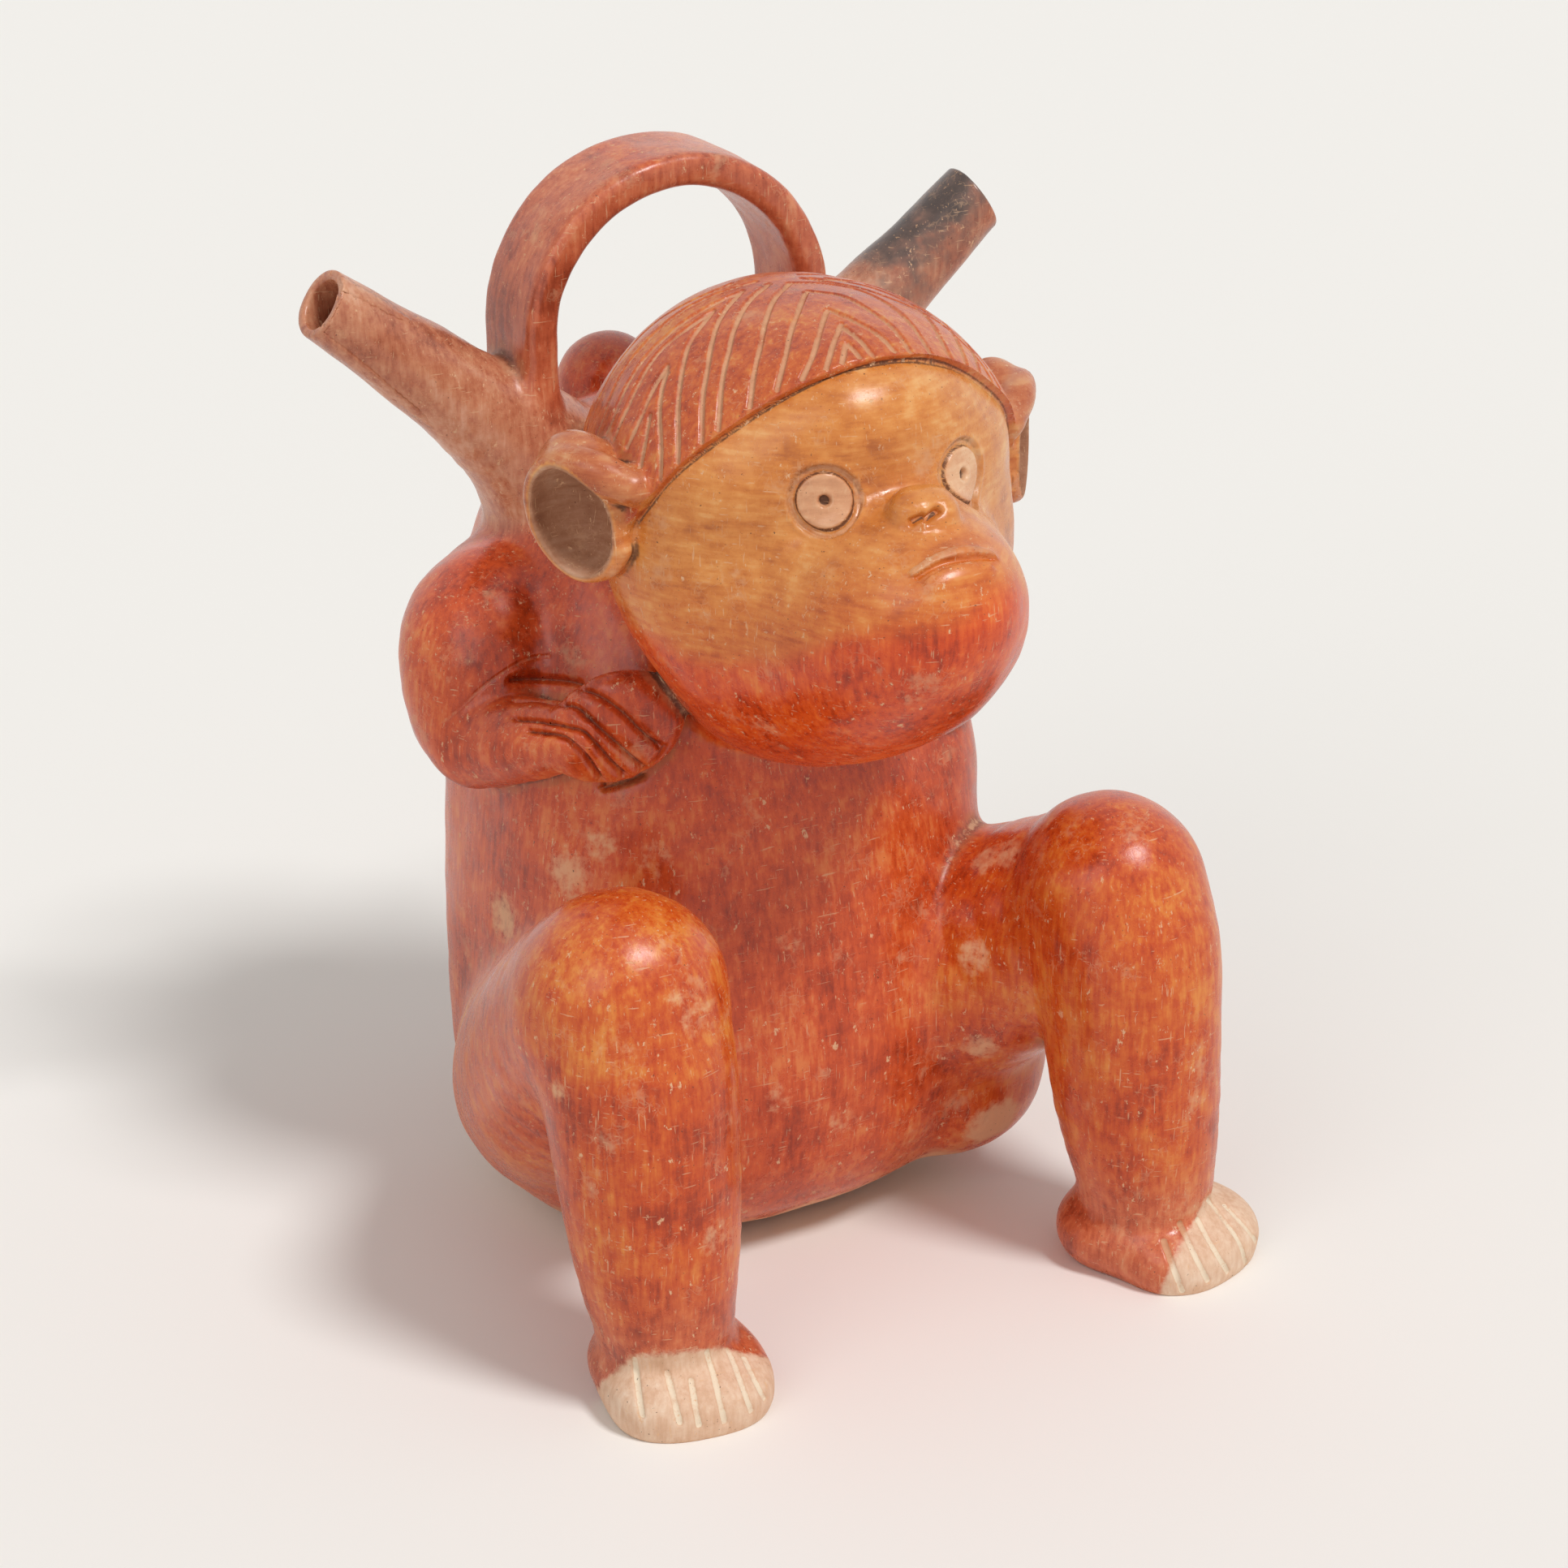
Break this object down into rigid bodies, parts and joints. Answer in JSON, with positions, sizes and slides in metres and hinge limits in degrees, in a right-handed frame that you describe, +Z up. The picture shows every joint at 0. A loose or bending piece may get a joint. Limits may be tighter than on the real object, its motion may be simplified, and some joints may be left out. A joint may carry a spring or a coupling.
{
  "type": "monkey effigy vessel",
  "caption": "Hollow fired-clay vessel modelled as a seated monkey, with slanting spouts behind the head and a flat strap handle bridging their bases.",
  "frame": {"origin": "centre of the overall box at the standing plane, under belly and soles", "axes": "+Z up, -Y the way the face looks, -X the animal's right side"},
  "size_m": [0.2104, 0.221, 0.297],
  "materials": {
    "red_slip": "burnished red slip, satin",
    "orange_slip": "burnished orange slip, satin",
    "ochre_slip": "burnished ochre slip, satin",
    "brown_slip": "burnished brown-red slip, incised",
    "cream_slip": "worn cream clay, matte",
    "smoked_slip": "red slip with smoke clouds, satin"
  },
  "bodies": {
    "root": {"body_shell": "red_slip", "head_shell": "ochre_slip", "hair_cap": "brown_slip", "ear_right": "ochre_slip", "ear_left": "ochre_slip", "eye_right": "ochre_slip", "eye_left": "ochre_slip", "nose": "ochre_slip", "mouth": "ochre_slip", "upper_arm_right": "red_slip", "upper_arm_left": "red_slip", "forearm_right": "red_slip", "forearm_left": "red_slip", "hand_right": "red_slip", "hand_left": "red_slip", "thigh_right": "orange_slip", "thigh_left": "orange_slip", "shin_right": "orange_slip", "shin_left": "orange_slip", "foot_right": "cream_slip", "foot_left": "cream_slip", "spout_right": "smoked_slip", "spout_left": "smoked_slip", "bridge_handle": "red_slip", "tail": "red_slip"}
  },
  "joints": []
}
